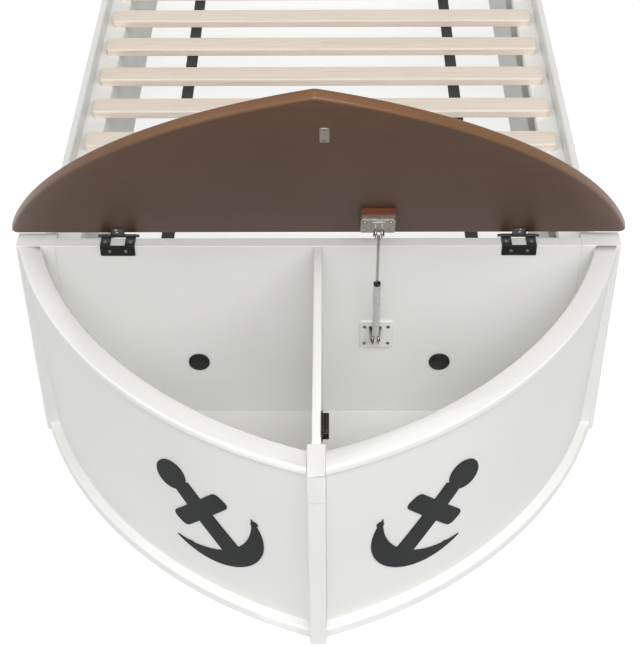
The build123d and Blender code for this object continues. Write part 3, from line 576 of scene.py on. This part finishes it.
# Screws, in mm: domed pan heads with a cross recess, at the places the frame gives them
screwHead = {
    "radius": 3.3, "taper": 0.94, "height": 1.5, "dome": 0.6, "cross": 3.8, "crossWidth": 0.85,
    "crossDepth": 0.9, "sunk": 0.6, "turn": 37,
}


def panHead():
    radius, height = screwHead["radius"] / 1000, screwHead["height"] / 1000
    shape = bmesh.new()
    bmesh.ops.create_cone(
        shape, cap_ends=True, segments=24, radius1=radius, radius2=radius * screwHead["taper"], depth=height,
        matrix=Matrix.Translation((0, 0, height / 2)),
    )
    rim = [edge for edge in shape.edges if all(vert.co.z > height / 2 for vert in edge.verts)]
    bmesh.ops.bevel(
        shape, geom=rim, offset=screwHead["dome"] / 1000, segments=3, profile=0.5, affect="EDGES", material=-1
    )
    slot = (screwHead["cross"] / 1000, screwHead["crossWidth"] / 1000, 2 * screwHead["crossDepth"] / 1000, 1)
    arms = []
    for turned in (0, 90):
        arm = bmesh.new()
        bmesh.ops.create_cube(
            arm, size=1,
            matrix=Matrix.Translation((0, 0, height)) @ Matrix.Rotation(radians(turned), 4, "Z")
            @ Matrix.Diagonal(slot),
        )
        arms.append(meshOf(arm, "crossArm"))
    return joined(meshOf(shape, "panHead"), arms, "DIFFERENCE")


head = panHead()


def islandsOf(mesh):
    shape = bmesh.new()
    shape.from_mesh(mesh)
    bmesh.ops.remove_doubles(shape, verts=shape.verts, dist=weldWithin)
    left = set(shape.verts)
    boxes = []
    while left:
        group, edge = set(), [left.pop()]
        while edge:
            vert = edge.pop()
            group.add(vert)
            others = {link.other_vert(vert) for link in vert.link_edges} & left
            left -= others
            edge += others
        low = Vector([min(vert.co[axis] for vert in group) for axis in range(3)])
        high = Vector([max(vert.co[axis] for vert in group) for axis in range(3)])
        boxes.append((low, high))
    shape.free()
    return boxes


def facingTurn(facing):
    return facing.to_track_quat("Z", "Y").to_matrix().to_4x4()


def setScrews(name, seats, body, nodes=()):
    shape = bmesh.new()
    for count, (seat, facing) in enumerate(seats):
        before = len(shape.verts)
        shape.from_mesh(head)
        shape.verts.ensure_lookup_table()
        spin = Matrix.Rotation(radians(screwHead["turn"] * count), 4, "Z")
        bmesh.ops.transform(
            shape, matrix=Matrix.Translation(seat) @ facingTurn(facing) @ spin, verts=shape.verts[before:]
        )
    mesh = meshOf(shape, name)
    mesh.set_sharp_from_angle(angle=sharpFrom)
    return finishPiece(name, mesh, finishOfSlot["screw_steel"], body, nodes)


for node in screwNodes:
    seats = []
    for low, high in islandsOf(frame["nodes"][node].data):
        size = high - low
        if bodyOfNode[node] == "lid":
            facing = lidDown
        else:
            facing = Vector((0, 0, 1)) if size.z < size.y else Vector((0, -1, 0))
        seats.append(((low + high) / 2 - facing * screwHead["sunk"] / 1000, facing))
    setScrews(camelName(node), seats, bodyOfNode[node], [node])

# The strike's two screws sit in holes, just under its face, so that the catch can meet it
strikeScrew = {"across": 13.5, "fromHinge": 478, "apart": 21, "hole": 3.7, "drill": 3.4, "sunk": 0.15}
middle = Vector(lidStand["hinge"]) + Vector((strikeScrew["across"] / 1000, 0, 0))
middle -= lidAlong * strikeScrew["fromHinge"] / 1000
strike = pieces["strike_plate"]
strikeFace = max(vert.co.dot(lidDown) for vert in strike.data.vertices)
seats, holes = [], []
for reach in (-strikeScrew["apart"], strikeScrew["apart"]):
    point = middle + lidAlong * reach / 1000
    point += lidDown * (strikeFace - point.dot(lidDown))
    seats.append((point - lidDown * (screwHead["height"] + strikeScrew["sunk"]) / 1000, lidDown))
    hole = bmesh.new()
    bmesh.ops.create_cone(
        hole, cap_ends=True, segments=32, radius1=strikeScrew["hole"] / 1000,
        radius2=strikeScrew["hole"] / 1000, depth=strikeScrew["drill"] / 1000,
        matrix=Matrix.Translation(point) @ facingTurn(lidDown),
    )
    holes.append(meshOf(hole, "hole"))
strike.data = joined(strike.data, holes, "DIFFERENCE")
strike.data.set_sharp_from_angle(angle=sharpFrom)
setScrews("strikeScrews", seats, "lid")
print("screws set")

# Wall bracket of the strut, in mm: two bent cheeks that close in from the plate to the pin
bracket = {
    "middle": (105, -718.5, 252), "top": (12.0, 19), "foot": (8.5, -15), "noseReach": 23.5, "noseHalf": 4.6,
    "noseTop": 7.0, "noseFoot": -6.5, "noseRound": 5, "thick": 2.0, "arris": 0.4,
}


def bracketFace(shape, corners):
    middle = Vector(bracket["middle"])
    shape.faces.new([shape.verts.new((middle + Vector(corner)) / 1000) for corner in corners])


shape = bmesh.new()
(topHalf, top), (footHalf, foot) = bracket["top"], bracket["foot"]
half, reach = bracket["noseHalf"], -bracket["noseReach"]
for side in (1, -1):
    cheek = [
        (side * topHalf, 0, top), (side * footHalf, 0, foot), (side * half, reach, bracket["noseFoot"]),
        (side * half, reach, bracket["noseTop"]),
    ]
    bracketFace(shape, cheek if side > 0 else cheek[::-1])
bracketFace(shape, [(-topHalf, 0, top), (-footHalf, 0, foot), (footHalf, 0, foot), (topHalf, 0, top)])
bmesh.ops.remove_doubles(shape, verts=shape.verts, dist=weldWithin)
noseFrom = (bracket["middle"][1] + reach / 2) / 1000
nose = [vert for vert in shape.verts if vert.co.y < noseFrom]
bmesh.ops.bevel(
    shape, geom=nose, offset=bracket["noseRound"] / 1000, segments=5, profile=0.5, affect="VERTICES",
    material=-1,
)
fork = finishPiece(
    "strutWallFork", meshOf(shape, "strutWallFork"), finishOfSlot["zinc_steel"], "root",
    ["strut_wall_fork"],
)
wall = fork.modifiers.new("Thickness", "SOLIDIFY")
wall.thickness = bracket["thick"] / 1000
wall.offset = 0
addArris(fork, bracket["arris"], 2)
print("bracket folded")

# Studio: pale floor, even white surround, soft suns from front, right and left, a window light over the bow
studio = {
    "surround": "#727272", "floor": "#bababa", "floorLift": 0.65, "floorHalf": 12, "spread": 35,
    "suns": (
        ("front", 1.34, (0, -0.6, 0.8)), ("right", 0.9, (0.6, -0.5, 0.65)), ("left", 0.4, (-0.6, -0.5, 0.65)),
        ("low", 0.45, (-0.9, -0.2, 0.4)),
    ),
    "window": {"power": 8.5, "wide": 1.6, "high": 0.7, "stand": (0.25, -1.9, 1.5), "aim": (0, -0.75, 0.3)},
}
world = bpy.data.worlds.new("studio")
world.use_nodes = True
bpy.context.scene.world = world
tree = world.node_tree
light = tree.nodes["Background"]
light.inputs["Color"].default_value = toLinear(studio["surround"])
backdrop = addNode(tree, "ShaderNodeBackground", {"Color": (1, 1, 1, 1)})
rays = addNode(tree, "ShaderNodeLightPath")
direct = addNode(
    tree, "ShaderNodeMath", {"operation": "MAXIMUM"},
    {0: rays.outputs["Is Camera Ray"], 1: rays.outputs["Is Glossy Ray"]},
)
seen = addNode(
    tree, "ShaderNodeMath", {"operation": "MAXIMUM"},
    {0: direct.outputs[0], 1: rays.outputs["Is Transmission Ray"]},
)
surround = addNode(
    tree, "ShaderNodeMixShader", None, {0: seen.outputs[0], 1: light.outputs[0], 2: backdrop.outputs[0]}
)
tree.links.new(surround.outputs[0], tree.nodes["World Output"].inputs["Surface"])


def standLight(lamp, stand, facing):
    holder = bpy.data.objects.new(lamp.name, lamp)
    bpy.context.scene.collection.objects.link(holder)
    holder.location = stand
    holder.rotation_euler = facing.to_track_quat("Z", "Y").to_euler()


for name, strength, direction in studio["suns"]:
    sun = bpy.data.lights.new(name, "SUN")
    sun.energy = strength
    sun.angle = radians(studio["spread"])
    standLight(sun, (0, 0, 0), Vector(direction))
window = studio["window"]
windowLight = bpy.data.lights.new("window", "AREA")
windowLight.shape = "RECTANGLE"
windowLight.size, windowLight.size_y = window["wide"], window["high"]
windowLight.energy = window["power"]
standLight(windowLight, window["stand"], Vector(window["stand"]) - Vector(window["aim"]))

floorShape = bmesh.new()
bmesh.ops.create_grid(floorShape, x_segments=1, y_segments=1, size=studio["floorHalf"])
floorMesh = meshOf(floorShape, "floor")
floor = bpy.data.objects.new("floor", floorMesh)
bpy.context.scene.collection.objects.link(floor)
floorMaterial, tree, shader, place = startMaterial("Studio floor, matt paper", {"Roughness": 0.9})
shader.inputs["Base Color"].default_value = toLinear(studio["floor"])
lift = addNode(tree, "ShaderNodeEmission", {"Strength": studio["floorLift"]})
lifted = addNode(tree, "ShaderNodeAddShader", None, {0: shader.outputs[0], 1: lift.outputs[0]})
rays = addNode(tree, "ShaderNodeLightPath")
direct = addNode(
    tree, "ShaderNodeMath", {"operation": "MAXIMUM"},
    {0: rays.outputs["Is Camera Ray"], 1: rays.outputs["Is Glossy Ray"]},
)
paper = addNode(
    tree, "ShaderNodeMixShader", None, {0: direct.outputs[0], 1: shader.outputs[0], 2: lifted.outputs[0]}
)
tree.links.new(paper.outputs[0], tree.nodes["Material Output"].inputs["Surface"])
floorMesh.materials.append(floorMaterial)
print("studio ready")
